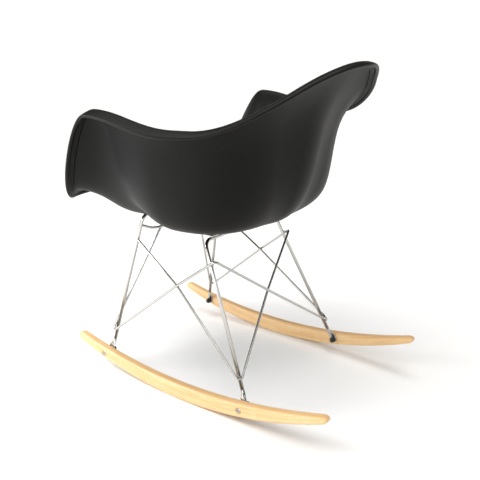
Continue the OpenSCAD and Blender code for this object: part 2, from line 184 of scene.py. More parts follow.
def chrome():
    s = Shader("chromed_rod")
    at = s.place()
    haze = s.noise(at, 60.0, 5.0, 0.7)
    spots = s.noise(at, 420.0, 2.0, 0.5)
    drawn = s.noise(s.stretch(at, (900.0, 900.0, 60.0)), 1.0, 2.0)
    colour = s.mix(haze, (0.58, 0.57, 0.55), (0.48, 0.47, 0.455))
    colour = s.mix(s.ramp(spots, [(0.66, 0.0), (0.74, 0.5)]), colour, (0.42, 0.37, 0.33))
    s.set("Base Color", colour)
    s.set("Metallic", 1.0)
    s.set("Roughness", s.ramp(haze, [(0.35, 0.07), (0.7, 0.19)]))
    s.set("Normal", s.bump(drawn, 0.06, 0.00005))
    return s.mat


def brushed_steel(name, tint, spin):
    """Zinc-plated steel; spin gives the turned look of a screw head."""
    s = Shader(name)
    at = s.place()
    haze = s.noise(at, 90.0, 5.0, 0.65)
    lines = s.noise(s.stretch(at, spin), 1.0, 3.0, 0.6)
    dark = tuple(0.55 * c for c in tint)
    s.set("Base Color", s.mix(s.ramp(haze, [(0.35, 0.0), (0.75, 0.8)]), tint, dark))
    s.set("Metallic", 1.0)
    s.set("Roughness", s.ramp(lines, [(0.25, 0.22), (0.8, 0.42)]))
    s.set("Normal", s.bump(lines, 0.2, 0.00006))
    return s.mat


def black_rubber():
    s = Shader("mount_rubber")
    at = s.place()
    dust = s.noise(at, 160.0, 5.0, 0.7)
    skin = s.noise(at, 1300.0, 3.0)
    amount = s.ramp(dust, [(0.45, 0.0), (0.8, 0.6)])
    s.set("Base Color", s.mix(amount, (0.012, 0.012, 0.012), (0.035, 0.034, 0.032)))
    s.set("Roughness", s.ramp(dust, [(0.3, 0.72), (0.7, 0.9)]))
    s.set("Normal", s.bump(skin, 0.3, 0.00008))
    return s.mat


def cap_plastic():
    s = Shader("cap_plastic")
    at = s.place()
    smear = s.noise(at, 240.0, 4.0, 0.6)
    s.set("Base Color", s.mix(smear, (0.006, 0.006, 0.006), (0.014, 0.013, 0.012)))
    s.set("Roughness", s.ramp(smear, [(0.3, 0.2), (0.75, 0.36)]))
    s.set("Specular IOR Level", 0.5)
    s.set("Normal", s.bump(smear, 0.08, 0.0002))
    return s.mat


def maple():
    """Pale wood, with painted shade on the rocker's top and bottom faces. The grain attribute holds metres along,
    across and through the rocker.
    """
    s = Shader("rocker_maple")
    at = s.attribute("grain")
    wander = s.noise(s.stretch(at, (3.0, 9.0, 9.0)), 1.0, 2.0)
    rings = s.node("ShaderNodeTexWave", wave_type="BANDS", bands_direction="DIAGONAL")
    s.link(s.stretch(at, (1.1, 30.0, 38.0)), rings.inputs["Vector"])
    rings.inputs["Scale"].default_value = 1.4
    rings.inputs["Distortion"].default_value = 5.5
    rings.inputs["Detail"].default_value = 3.0
    rings.inputs["Detail Scale"].default_value = 0.9
    streak = s.noise(s.stretch(at, (7.0, 190.0, 190.0)), 1.0, 6.0, 0.62, 0.4)
    pores = s.noise(s.stretch(at, (60.0, 1500.0, 1500.0)), 1.0, 3.0, 0.6)
    flame = s.noise(s.stretch(at, (38.0, 26.0, 20.0)), 1.0, 3.0, 0.5, 0.8)
    # edge marks the rocker's top and bottom faces, for painted shade: darker orange there, as if those faces
    # caught less light than the sides
    edge = s.attribute("edge", "Fac")
    pale, warm, brown = (0.80, 0.555, 0.285), (0.74, 0.46, 0.21), (0.56, 0.30, 0.115)
    colour = s.mix(s.ramp(rings.outputs["Fac"], [(0.25, 0.0), (0.85, 0.55)]), pale, warm)
    colour = s.mix(s.ramp(streak, [(0.46, 0.0), (0.72, 0.65)]), colour, brown)
    colour = s.mix(s.ramp(wander, [(0.35, 0.0), (0.7, 0.35)]), colour, warm)
    colour = s.mix(s.ramp(flame, [(0.5, 0.0), (0.75, 0.22)]), colour, (0.90, 0.69, 0.42))
    colour = s.mix(s.ramp(pores, [(0.60, 0.0), (0.72, 0.5)]), colour, (0.42, 0.21, 0.08))
    # painted shade: the top and bottom faces mixed towards a darker orange
    colour = s.mix(s.math("MULTIPLY", edge, 0.45), colour, (0.66, 0.37, 0.15))
    s.set("Base Color", colour)
    s.set("Roughness", s.ramp(streak, [(0.3, 0.36), (0.75, 0.52)]))
    s.set("Specular IOR Level", 0.4)
    s.set("Coat Weight", 0.12)
    s.set("Coat Roughness", 0.3)
    fine = s.bump(streak, 0.16, 0.00012)
    s.set("Normal", s.bump(pores, 0.3, 0.00008, fine))
    return s.mat


MATERIALS = {
    "shell": shell_plastic(),
    "chrome_rod": chrome(),
    "rocker_wood": maple(),
    "steel_hardware": brushed_steel("plated_steel", (0.66, 0.65, 0.63), (300.0, 1400.0, 1400.0)),
    "mount_rubber": black_rubber(),
    "cap_plastic": cap_plastic(),
}


# ---------- mesh helpers ----------
def make_piece(name, points, faces, slot, replaced=(), attributes=None, smooth=True):
    """A mesh piece from points in metres, riding on the chair's one body."""
    mesh = bpy.data.meshes.new(name)
    mesh.from_pydata([tuple(p) for p in points], [], faces)
    mesh.validate()
    if smooth:
        mesh.shade_smooth()
    for key, values in (attributes or {}).items():
        kind = "FLOAT_VECTOR" if np.ndim(values) == 2 else "FLOAT"
        layer = mesh.attributes.new(key, kind, "POINT")
        field = "vector" if kind == "FLOAT_VECTOR" else "value"
        layer.data.foreach_set(field, np.asarray(values, np.float32).ravel())
    mesh.materials.append(MATERIALS[slot])
    piece = bpy.data.objects.new(name, mesh)
    bpy.context.scene.collection.objects.link(piece)
    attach(piece, "root")
    if replaced:
        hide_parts(*replaced)
    return piece


def enclosed(points, faces):
    """Six times the signed volume inside closed faces: negative where they face inwards."""
    p = np.asarray(points, float)
    total = 0.0
    for i in range(1, max(len(f) for f in faces) - 1):
        tri = np.array([(f[0], f[i], f[i + 1]) for f in faces if len(f) > i + 1])
        a, b, c = (p[tri[:, i]] for i in range(3))
        total += float(np.einsum("ij,ij->i", a, np.cross(b, c)).sum())
    return total


class Bag:
    """Collects points and faces of one piece."""

    def __init__(self):
        self.points = []
        self.faces = []

    def add(self, points, faces):
        """Adds one closed part, with its faces turned outwards."""
        if enclosed(points, faces) < 0:
            faces = [f[::-1] for f in faces]
        start = len(self.points)
        self.points.extend(np.asarray(points, float))
        self.faces.extend(tuple(start + i for i in f) for f in faces)

    def add_rings(self, rings, caps=True):
        """Rings of equal length, joined by quads, and closed at both ends with a fan."""
        rings = np.asarray(rings, float)
        m, n = rings.shape[:2]
        points = list(rings.reshape(-1, 3))
        faces = [
            (j * n + k, j * n + (k + 1) % n, (j + 1) * n + (k + 1) % n, (j + 1) * n + k)
            for j in range(m - 1)
            for k in range(n)
        ]
        if caps:
            points += [rings[0].mean(0), rings[-1].mean(0)]
            a, b, last = m * n, m * n + 1, (m - 1) * n
            faces += [(a, (k + 1) % n, k) for k in range(n)]
            faces += [(b, last + k, last + (k + 1) % n) for k in range(n)]
        self.add(points, faces)


def unit(v):
    return v / np.linalg.norm(v)


def centre_line(corners, bends, step=4.0):
    """Straight runs joined by arcs of the given bend radii, as the CAD rods are bent."""
    p = np.array(corners, float)
    line = [p[0]]
    for i in range(1, len(p) - 1):
        d1, d2 = unit(p[i] - p[i - 1]), unit(p[i + 1] - p[i])
        turn = math.acos(float(np.clip(d1 @ d2, -1, 1)))
        side = unit(d2 - (d2 @ d1) * d1)
        centre = p[i] - d1 * bends[i] * math.tan(turn / 2) + side * bends[i]
        count = max(2, math.ceil(math.degrees(turn) / step))
        for a in np.linspace(0, turn, count + 1):
            line.append(centre + bends[i] * (d1 * math.sin(a) - side * math.cos(a)))
    line.append(p[-1])
    return np.array(line)


def sweep(line, radius, sides):
    """Rings round a line, carried along it without twisting."""
    heading = np.gradient(line, axis=0)
    heading /= np.linalg.norm(heading, axis=1)[:, None]
    radii = np.broadcast_to(radius, len(line))
    first = np.array([0.0, 0, 1]) if abs(heading[0][2]) < 0.9 else np.array([0.0, 1, 0])
    side = unit(first - (first @ heading[0]) * heading[0])
    angles = np.linspace(0, 2 * math.pi, sides, endpoint=False)
    rings = []
    for p, d, r in zip(line, heading, radii):
        side = unit(side - (side @ d) * d)
        other = np.cross(d, side)
        rings.append(p + r * (np.outer(np.cos(angles), side) + np.outer(np.sin(angles), other)))
    return rings


def rounded_rod(bag, line, r, sides=28, start=True, end=True):
    """A rod along the line, with its cut ends rounded over."""
    line = np.array(line)
    radius = np.full(len(line), float(r))
    soft = [(0.0, 0.0), (0.06, 0.55), (0.2, 0.85), (0.5, 1.0)]
    for wanted, flip in ((start, False), (end, True)):
        if not wanted:
            continue
        if flip:
            line, radius = line[::-1], radius[::-1]
        along = unit(line[1] - line[0])
        head = [line[0] + along * r * d for d, _ in soft]
        line = np.vstack([head, line[1:]])
        radius = np.concatenate([[max(w, 0.02) * r for _, w in soft], radius[1:]])
        if flip:
            line, radius = line[::-1], radius[::-1]
    bag.add_rings(sweep(line, radius, sides))


def weld(bag, centre, along, size, seed):
    """A small lumpy weld bead: size is its half length, half width and half height."""
    ball = bmesh.new()
    bmesh.ops.create_icosphere(ball, subdivisions=3, radius=1.0)
    along = unit(np.array(along, float))
    side = unit(np.cross(along, (0.31, 0.57, 0.76)))
    up = np.cross(along, side)
    points = []
    for v in ball.verts:
        x, y, z = v.co
        lump = 1 + 0.13 * math.sin(7 * x + seed) + 0.07 * math.sin(11 * y + 5 * z + 2 * seed)
        points.append(
            np.array(centre) + lump * (x * size[0] * along + y * size[1] * side + z * size[2] * up)
        )
    bag.add(points, [tuple(v.index for v in f.verts) for f in ball.faces])
    ball.free()


# ---------- the moulded shell ----------
# The shell's design in mm, as in the CAD source. Directions are degrees round the shell from
# the front centre: 90 is the arm, 180 the back.
SHELL_T = 4.6  # wall thickness
RIM_EXTRA = 2.4  # extra thickness of the rolled rim
RIM_HALF = 292.0  # half width of the rim at the arms
RIM_Y = -40.0  # where the rim is widest
FRONT_REACH, BACK_REACH, CROWN = 230.0, 338.0, 16.0
FRONT_SQUARE, BACK_SQUARE = 5.0, 2.1  # squareness of the outline, where 2 is an ellipse
FLANGE_W = 25.0
FRONT_Z, ARM_Z, SHOULDER_Z, BACK_Z = 418.0, 597.0, 566.0, 678.0  # heights of the rim edge
ROLL_FRONT, ROLL_ARM, ROLL_BACK = 22.0, 13.0, 4.0  # how far the edge hangs below the crest
ARM_RISE, ARM_DIP, BACK_RISE = (48, 74), (74, 112), (118, 178)
ROLL_TO_ARM, ROLL_TO_BACK = (40, 80), (110, 150)
CROWN_ON = 155
CREST_LAG = 2
FLANGE_BULGE = 4.0
FLANGE_SHARE = 0.45
FRONT_TO_SIDE, SIDE_TO_BACK = (24, 88), (100, 170)
SEAT_MID = np.array((0.0, 16.0, 351.0))
# Share of the way out from the seat's lowest point, then of the way up, from the crest down.
FRONT_PROFILE = [(0.86, 0.83), (0.74, 0.59), (0.62, 0.4), (0.44, 0.27), (0.27, 0.12)]
SIDE_PROFILE = [(0.95, 0.84), (0.93, 0.5), (0.88, 0.13), (0.6, 0.04), (0.3, 0.01)]
BACK_PROFILE = [(0.75, 0.79), (0.67, 0.48), (0.6, 0.23), (0.45, 0.05), (0.25, 0.0)]
AROUND = 320  # points round the shell


def ease(a, span):
    """Smooth step from 0 at span[0] to 1 at span[1]."""
    t = np.clip((a - span[0]) / (span[1] - span[0]), 0, 1)
    return t * t * (3 - 2 * t)


def rim_radius(a):
    reach = np.where(a < 90, FRONT_REACH, BACK_REACH)
    square = np.where(a < 90, FRONT_SQUARE, BACK_SQUARE)
    s, c = np.abs(np.sin(np.radians(a))), np.abs(np.cos(np.radians(a)))
    oval = ((s / RIM_HALF) ** square + (c / reach) ** square) ** (-1 / square)
    return oval + CROWN * ease(a, (CROWN_ON, 180))


def rim_z(a):
    rise = (ARM_Z - FRONT_Z) * ease(a, ARM_RISE) - (ARM_Z - SHOULDER_Z) * ease(a, ARM_DIP)
    return FRONT_Z + rise + (BACK_Z - SHOULDER_Z) * ease(a, BACK_RISE)


def roll(a):
    to_arm = (ROLL_ARM - ROLL_FRONT) * ease(a, ROLL_TO_ARM)
    return ROLL_FRONT + to_arm + (ROLL_BACK - ROLL_ARM) * ease(a, ROLL_TO_BACK)


def blend_weights(t):
    """Weights of four neighbouring control values in a uniform cubic blend."""
    return np.array([
        (1 - t) ** 3,
        3 * t**3 - 6 * t**2 + 4,
        -3 * t**3 + 3 * t**2 + 3 * t + 1,
        t**3,
    ]) / 6


def shell_columns():
    """Control values of AROUND columns, from beyond the rim to beyond the middle of the seat."""
    turn = 360 * np.arange(AROUND) / AROUND
    side = np.where(turn > 180, -1.0, 1.0)
    a = np.where(turn > 180, 360 - turn, turn)

    def polar(r, z):
        r_x, r_y = np.sin(np.radians(a)), np.cos(np.radians(a))
        return np.stack([side * r * r_x, RIM_Y - r * r_y, z], 1)

    edge = polar(rim_radius(a), rim_z(a))
    crest = polar(rim_radius(a) - FLANGE_W, rim_z(a - CREST_LAG) + roll(a))
    flange = edge * (1 - FLANGE_SHARE) + crest * FLANGE_SHARE + (0, 0, FLANGE_BULGE)
    rows = [edge, flange, crest]
    out = crest - SEAT_MID
    facing = np.degrees(np.arctan2(np.abs(out[:, 0]), -out[:, 1]))
    front, back = 1 - ease(facing, FRONT_TO_SIDE), ease(facing, SIDE_TO_BACK)
    for f, s, b in zip(FRONT_PROFILE, SIDE_PROFILE, BACK_PROFILE):
        flat, up = (front * f[i] + (1 - front - back) * s[i] + back * b[i] for i in (0, 1))
        rows.append(SEAT_MID + out * np.stack([flat, flat, up], 1))
    middle = np.repeat(SEAT_MID[None], AROUND, 0)
    return np.stack([2 * rows[0] - rows[1], *rows, middle, 2 * middle - rows[-1]])


class Skin:
    """The shell's smooth reference surface. v runs from 0 at the rim to 8 at the seat's middle."""

    def __init__(self):
        self.columns = shell_columns()
        self.fine_v = np.linspace(0, 2.0, 161)
        line = np.stack([self.at(np.full(AROUND, v)) for v in self.fine_v])
        steps = np.linalg.norm(np.diff(line, axis=0), axis=2)
        self.length = np.vstack([np.zeros(AROUND), np.cumsum(steps, axis=0)])

    def at(self, v):
        first = np.clip(np.floor(v).astype(int), 0, 7)
        w = blend_weights(v - first)
        k = np.arange(AROUND)
        return sum(w[i][:, None] * self.columns[first + i, k] for i in range(4))

    def facing(self, v):
        """Direction towards the sitter."""
        p = self.at(v)
        around = np.roll(p, -1, 0) - np.roll(p, 1, 0)
        down = self.at(np.minimum(v + 0.02, 8)) - self.at(np.maximum(v - 0.02, 0))
        n = np.cross(around, down)
        return n / np.linalg.norm(n, axis=1)[:, None]

    def v_from_edge(self, s):
        """v at s mm in from the rim, for each column."""
        return np.array([np.interp(s, self.length[:, k], self.fine_v) for k in range(AROUND)])


def rim_profile():
    """(mm in from the edge, side, mm off the wall's own face, how much of it is rim).

    side 1 is the outer face, -1 the inner face, 0 the rounded edge between them, where the
    third value is an angle.
    """
    rows = [
        (17.0, 1, 0.0, 0.0), (13.5, 1, 0.0, 0.0), (11.4, 1, 0.0, 0.1), (10.5, 1, -0.15, 0.3),
        (10.0, 1, -0.35, 0.3), (9.5, 1, -0.4, 0.3), (9.0, 1, -0.3, 0.5), (8.6, 1, 0.3, 0.9),
        (8.1, 1, 0.85, 1.0), (7.3, 1, 1.2, 1.0), (6.2, 1, 1.45, 1.0), (4.8, 1, 1.65, 1.0),
    ]
    rows += [(None, 0, a, 1.0) for a in range(90, -91, -15)]
    rows += [
        (4.8, -1, 0.7, 0.9), (6.5, -1, 0.5, 0.7), (8.5, -1, 0.2, 0.4), (11.0, -1, -0.1, 0.2),
        (13.5, -1, -0.15, 0.1), (17.0, -1, -0.15, 0.0),
    ]
    return rows


def build_shell():
    skin = Skin()

    def share_outside(v):
        return SHELL_T * 0.8 * np.clip(1 - v / 3, 0, 1)

    def face(v, side, off):
        out = share_outside(v)
        depth = -(out + off) if side > 0 else SHELL_T - out + off
        return skin.at(v) + np.asarray(depth)[:, None] * skin.facing(v)

    edge_r = (SHELL_T + RIM_EXTRA) / 2
    v_edge = skin.v_from_edge(edge_r)
    edge_out = -(share_outside(v_edge) + RIM_EXTRA * 0.7)
    edge_in = SHELL_T - share_outside(v_edge) + RIM_EXTRA * 0.3

    rings, rim = [], []
    inward = np.concatenate([np.linspace(7.93, 5.0, 22), np.linspace(4.88, 1.5, 34)])
    v_start = skin.v_from_edge(20.0)
    for v in inward:
        rings.append(face(np.full(AROUND, v), 1, 0.0))
        rim.append(0.0)
    for share in (0.66, 0.33, 0.0):
        v = v_start + (1.5 - v_start) * share
        rings.append(face(v, 1, 0.0))
        rim.append(0.0)
    for s, side, value, amount in rim_profile():
        if side == 0:
            a = math.radians(value)
            v = skin.v_from_edge(edge_r * (1 - math.cos(a)))
            depth = (edge_out + edge_in) / 2 - math.sin(a) * (edge_in - edge_out) / 2
            rings.append(skin.at(v) + depth[:, None] * skin.facing(v))
        else:
            rings.append(face(skin.v_from_edge(s), side, value))
        rim.append(amount)
    for share in (0.0, 0.33, 0.66):
        v = v_start + (1.5 - v_start) * share
        rings.append(face(v, -1, 0.0))
        rim.append(0.0)
    for v in inward[::-1]:
        rings.append(face(np.full(AROUND, v), -1, 0.0))
        rim.append(0.0)

    rings = np.array(rings)
    count, n = rings.shape[:2]
    points = np.vstack([rings.reshape(-1, 3), SEAT_MID, SEAT_MID + (0, 0, SHELL_T)])
    faces = [
        (j * n + k, (j + 1) * n + k, (j + 1) * n + (k + 1) % n, j * n + (k + 1) % n)
        for j in range(count - 1)
        for k in range(n)
    ]
    under, top, last = count * n, count * n + 1, (count - 1) * n
    faces += [(under, k, (k + 1) % n) for k in range(n)]
    faces += [(top, last + (k + 1) % n, last + k) for k in range(n)]
    rim = np.concatenate([np.repeat(rim, n), [0, 0]])
    if enclosed(points, faces) < 0:
        faces = [f[::-1] for f in faces]
    return make_piece(
        "moulded_shell", stand(points), faces, "shell", ["seat_shell"], {"rim": rim}
    )


# ---------- rods and wires ----------
LEG_R = 4.0  # mm
WIRE_R = 2.8
CROSS_R = 2.8
LEG_BEND = 20.0
EYE_X, EYE_R, EYE_T = 181.35, 8.0, 3.2
FOOT_RISE = 8.5  # from a bolt up to the foot of the leg's round part
BOLTS = {"front": np.array((0, -233, 42.5)), "rear": np.array((0, 156, 29.5))}
LEG_TOPS = {"front": np.array((133, -145.5, 371)), "rear": np.array((126.5, 21.5, 337))}
CROSS_END_Z, CROSS_Z, CROSS_FLAT, CROSS_BEND = 346.0, 330.0, 97.0, 90.0
WIRE_START = 62.0
TURN_FRONT_Z, TURN_TOP_Z, TURN_REAR_Z, WIRE_END_Z = 87.0, 302.0, 74.0, 315.0
SIDE_CROSS, BACK_CROSS = np.array((155, -39, 234.0)), np.array((0, 90, 201.0))
TURN_OFF, TOP_OFF, END_OFF = (10, 7.8), (5.6, 19.2), (4.5, 5.2)  # out, and fore or aft, of a leg
BRACE_BENDS = [0, 7.5, 60, 7.5, 120, 7.5, 60, 0]
MIRROR = np.array((-1.0, 1, 1))


def leg_foot(which):
    """The foot of a leg's round part, a little up from its bolt."""
    bolt, top = BOLTS[which], LEG_TOPS[which]
    rise = unit(np.array((0, top[1] - bolt[1], top[2] - bolt[2])))
    return np.array((EYE_X - EYE_T / 2 - LEG_R, bolt[1], bolt[2])) + FOOT_RISE * rise


def on_leg(which, z, out=0.0, aft=0.0):
    """The middle of a leg at height z, then a step outwards and aft of it."""
    foot, top = leg_foot(which), LEG_TOPS[which]
    return foot + (top - foot) * (z - foot[2]) / (top[2] - foot[2]) + (out, aft, 0)


def foot_top(which):
    """Where the flattened foot begins on a leg, and the leg's direction up from there."""
    foot = leg_foot(which)
    up = unit(LEG_TOPS[which] - foot)
    return foot + 22 * up, up


CROSS_END = on_leg("front", CROSS_END_Z, -CROSS_R)
CROSS_LOW = np.array((CROSS_FLAT, CROSS_END[1], CROSS_Z))


def build_leg_rod(which):
    start, _ = foot_top(which)
    corners = [start, LEG_TOPS[which], LEG_TOPS[which] * MIRROR, start * MIRROR]
    bag = Bag()
    bag.add_rings(sweep(centre_line(corners, [0, LEG_BEND, LEG_BEND, 0], 3.0), LEG_R, 36))
    name = which + "_leg_rod"
    return make_piece(name, stand(bag.points), bag.faces, "chrome_rod", [name])


def build_cross_rod():
    bag = Bag()
    corners = [CROSS_END, CROSS_LOW, CROSS_LOW * MIRROR, CROSS_END * MIRROR]
    bag.add_rings(sweep(centre_line(corners, [0, CROSS_BEND, CROSS_BEND, 0], 3.0), CROSS_R, 24))
    for flip in (1, MIRROR):
        weld(bag, CROSS_END * flip, (0, 0.4, 1), (3.6, 3.1, 3.1), 1)
    name = "front_cross_rod"
    return make_piece(name, stand(bag.points), bag.faces, "chrome_rod", [name])


def brace_corners(side):
    """Corners of the left wire's route. side is 1 where it passes behind at the back crossing."""
    gap = WIRE_R + 0.05
    return [
        CROSS_LOW + (WIRE_START - CROSS_FLAT, -CROSS_R - WIRE_R, CROSS_R + 2),
        on_leg("front", TURN_FRONT_Z, TURN_OFF[0], -TURN_OFF[1]),
        SIDE_CROSS + gap * np.array((1, 0, 0.13)),
        on_leg("rear", TURN_TOP_Z, *TOP_OFF),
        BACK_CROSS + side * gap * np.array((0, 0.92, 0.4)),
        on_leg("rear", TURN_REAR_Z, *TURN_OFF) * MIRROR,
        (SIDE_CROSS - gap * np.array((1, 0, 0.13))) * MIRROR,
        on_leg("front", WIRE_END_Z, *END_OFF) * MIRROR,
    ]


def build_brace(side):
    left = side > 0
    flip = 1 if left else MIRROR
    bag = Bag()
    rounded_rod(bag, centre_line(brace_corners(side), BRACE_BENDS, 5.0) * flip, WIRE_R, 24)
    beads = [
        (CROSS_LOW + (WIRE_START - CROSS_FLAT, -3.0, 2.4), (1, 0, 0), (3.6, 2.4, 2.2)),
        (on_leg("front", TURN_FRONT_Z + 8, 3.4, -2.8), (0, 1, 0.3), (4.2, 2.5, 3.0)),
        (on_leg("rear", TURN_TOP_Z - 6, 2.2, 3.6), (0, 1, -0.2), (4.0, 2.5, 3.0)),
        (on_leg("rear", TURN_REAR_Z + 8, 3.4, 2.8) * MIRROR, (0, 1, -0.3), (4.2, 2.6, 3.0)),
        (on_leg("front", WIRE_END_Z, 2.8, 3.0) * MIRROR, (0.2, 0.2, 1), (3.6, 2.5, 2.8)),
    ]
    if left:
        beads.append((BACK_CROSS, (1, 0, 0), (3.2, 2.0, 2.0)))
        beads += [(SIDE_CROSS * f, (0, 1, 0), (4.5, 1.8, 2.0)) for f in (1, MIRROR)]
    for i, (at, along, size) in enumerate(beads):
        weld(bag, at * flip, np.array(along) * flip, size, i + (3 if left else 11))
    name = "left_brace_wire" if left else "right_brace_wire"
    return make_piece(name, stand(bag.points), bag.faces, "chrome_rod", [name])


def build_foot(corner_name):
    """The leg's end, hammered flat into the eye that the bolt goes through."""
    which, left = corner_name.split("_")[0], "left" in corner_name
    bolt = BOLTS[which]
    start, up = foot_top(which)
    eye = np.array((EYE_X, bolt[1], bolt[2]))
    tip_r, flat_t = EYE_R, EYE_T / 2
    rings = []
    angles = np.linspace(0, 2 * math.pi, 36, endpoint=False)
    down = unit(np.array((0.0, *(eye - start)[1:])))
    reach = float(np.linalg.norm((eye - start)[1:]))
    tip = reach + tip_r * np.sin(np.linspace(0.1, 1.54, 10))
    steps = np.concatenate([np.linspace(-6, reach, 26), tip])
    for d in steps:
        t = min(max(d / (reach - 6), 0.0), 1.0)
        ease = t * t * (3 - 2 * t)
        x = start[0] + (EYE_X - start[0]) * ease if d >= 0 else start[0] - up[0] * d * -1
        centre = np.array((x, start[1], start[2])) + down * d
        if d < 0:
            centre = start - up * d
        half_t = LEG_R + (flat_t - LEG_R) * ease
        half_w = LEG_R + (tip_r - LEG_R) * ease
        if d > reach:
            half_w = math.sqrt(max(tip_r**2 - (d - reach) ** 2, 0.05))
            half_t = flat_t * min(1.0, 0.25 + half_w / tip_r)
        wide = np.array((0.0, -down[2], down[1]))
        power = 2.0 / (2.0 + 2.2 * ease)
        c, s_ = np.cos(angles), np.sin(angles)
        a = half_w * np.sign(c) * np.abs(c) ** power
        b = half_t * np.sign(s_) * np.abs(s_) ** power
        rings.append(centre + np.outer(a, wide) + np.outer(b, (1.0, 0, 0)))
    rings = np.array(rings)
    if not left:
        rings = rings[:, ::-1] * (-1, 1, 1)
    bag = Bag()
    bag.add_rings(rings)
    return make_piece(
        "leg_foot_" + corner_name,
        stand(bag.points),
        bag.faces,
        "chrome_rod",
        ["foot_eye_" + corner_name],
    )


# ---------- rockers ----------
UPPER_R = 1250.0  # mm
ROCKER_H = 35.0
ROCKER_W = 22.0
ROCKER_IN = 183.0
TIP_FRONT = 326.0
TIP_REAR = 354.0
EDGE_R = 7.0


def rocker_height(phi):
    """Height of the rocker's side at angle phi round the underside's centre, along its radius."""
    low = np.array((ARC_R * math.sin(phi), ARC_R - ARC_R * math.cos(phi)))
    inward = np.array((-math.sin(phi), math.cos(phi)))
    to_low = low - np.array((0.0, ROCKER_H + UPPER_R))
    b = to_low @ inward
    return -b - math.sqrt(b * b - (to_low @ to_low - UPPER_R**2))


def rocker_section(half_w, half_h, r, per_corner=7):
    """A rounded rectangle as (x, h) points."""
    r = min(r, half_w * 0.98, half_h * 0.98)
    out = []
    for cx, cy, a0 in ((1, 1, 0), (-1, 1, 90), (-1, -1, 180), (1, -1, 270)):
        for a in np.linspace(a0, a0 + 90, per_corner):
            a = math.radians(a)
            out.append((cx * (half_w - r) + r * math.cos(a), cy * (half_h - r) + r * math.sin(a)))
    ring = []
    for i, p in enumerate(out):
        q = out[(i + 1) % len(out)]
        ring.append(p)
        if i % per_corner == per_corner - 1:
            ring += [
                (p[0] + (q[0] - p[0]) * t, p[1] + (q[1] - p[1]) * t) for t in (0.25, 0.5, 0.75)
            ]
    return np.array(ring)


def rocker_grain_and_edge_shade(points):
    """Metres along, up and across the rocker, and how near each point is to its top or bottom face, where the
    wood gets painted shade.
    """
    p = np.asarray(points)
    y, z = p[:, 1] - SHIFT_Y, p[:, 2] - ARC_R * MM
    phi = np.arctan2(y, -z) + LEAN
    radius = np.hypot(y, z)
    along = phi * ARC_R * MM
    up = ARC_R * MM - radius
    middle = (ROCKER_IN + ROCKER_W / 2) * MM
    across = np.abs(p[:, 0]) - middle
    high = np.array([rocker_height(f) for f in phi]) * MM
    top = np.clip(1 - (high - up) / 0.004, 0, 1)
    bottom = np.clip(1 - up / 0.004, 0, 1)
    return np.stack([along, up, across], 1), np.maximum(top, bottom)


def build_rocker(side):
    bag = Bag()
    phi0, phi1 = -math.asin(TIP_FRONT / ARC_R), math.asin(TIP_REAR / ARC_R)
    tip = 13.0 / ARC_R
    ends = 1 - np.cos(np.linspace(0.12, math.pi / 2, 12))
    spans = np.concatenate([
        phi0 + tip * ends,
        np.linspace(phi0 + tip * 1.2, phi1 - tip * 1.2, 150),
        phi1 - tip * ends[::-1],
    ])
    rings = []
    for phi in spans:
        near = min(phi - phi0, phi1 - phi) / tip
        shrink = math.sqrt(max(1 - (1 - min(near, 1)) ** 2, 1e-4))
        high = rocker_height(phi)
        half_h = high / 2 * (0.08 + 0.92 * shrink)
        half_w = ROCKER_W / 2 * (0.35 + 0.65 * shrink)
        section = rocker_section(half_w, half_h, EDGE_R)
        inward = np.array((-math.sin(phi), math.cos(phi)))
        low = np.array((ARC_R * math.sin(phi), ARC_R - ARC_R * math.cos(phi)))
        middle = low + inward * high / 2
        ring = [(side * (ROCKER_IN + ROCKER_W / 2 + x), *(middle + inward * h)) for x, h in section]
        rings.append(ring)
    rings = np.array(rings)
    if side > 0:
        rings = rings[:, ::-1]
    bag.add_rings(rings)
    points = stand(bag.points)
    name = "left_rocker" if side > 0 else "right_rocker"
    piece = make_piece(name, points, bag.faces, "rocker_wood", [name])
    drill_rocker(piece, side)
    # edge is the share of painted shade on the top and bottom faces
    grain, edge = rocker_grain_and_edge_shade([v.co for v in piece.data.vertices])
    if side < 0:
        grain = grain + (0.71, 0.013, 0.009)
    for key, values, kind, field in (
        ("grain", grain, "FLOAT_VECTOR", "vector"), ("edge", edge, "FLOAT", "value"),
    ):
        layer = piece.data.attributes.new(key, kind, "POINT")
        layer.data.foreach_set(field, values.astype(np.float32).ravel())
    return piece


def lathe(profile, centre, axis_sign, sides=48):
    """Rings round an X-wise axis through centre (m): profile is (x, r) in mm, x outward."""
    angles = np.linspace(0, 2 * math.pi, sides, endpoint=False)
    rings = []
    for x, r in profile:
        ring = np.zeros((sides, 3))
        ring[:, 0] = centre[0] + axis_sign * x * MM
        ring[:, 1] = centre[1] + r * MM * np.cos(angles) * axis_sign
        ring[:, 2] = centre[2] + r * MM * np.sin(angles)
        rings.append(ring)
    return np.array(rings)


def bolt_axis(corner_name):
    """Middle of the bolt's line where it meets the rocker's outer face, from the CAD bolt."""
    low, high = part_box("rocker_bolt_" + corner_name)
    sign = 1 if "left" in corner_name else -1
    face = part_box("left_rocker" if sign > 0 else "right_rocker")
    x = face[1].x if sign > 0 else face[0].x
    return np.array((x, (low.y + high.y) / 2, (low.z + high.z) / 2)), sign


BORE_R = 6.5  # mm
BORE_DEPTH = 7.0


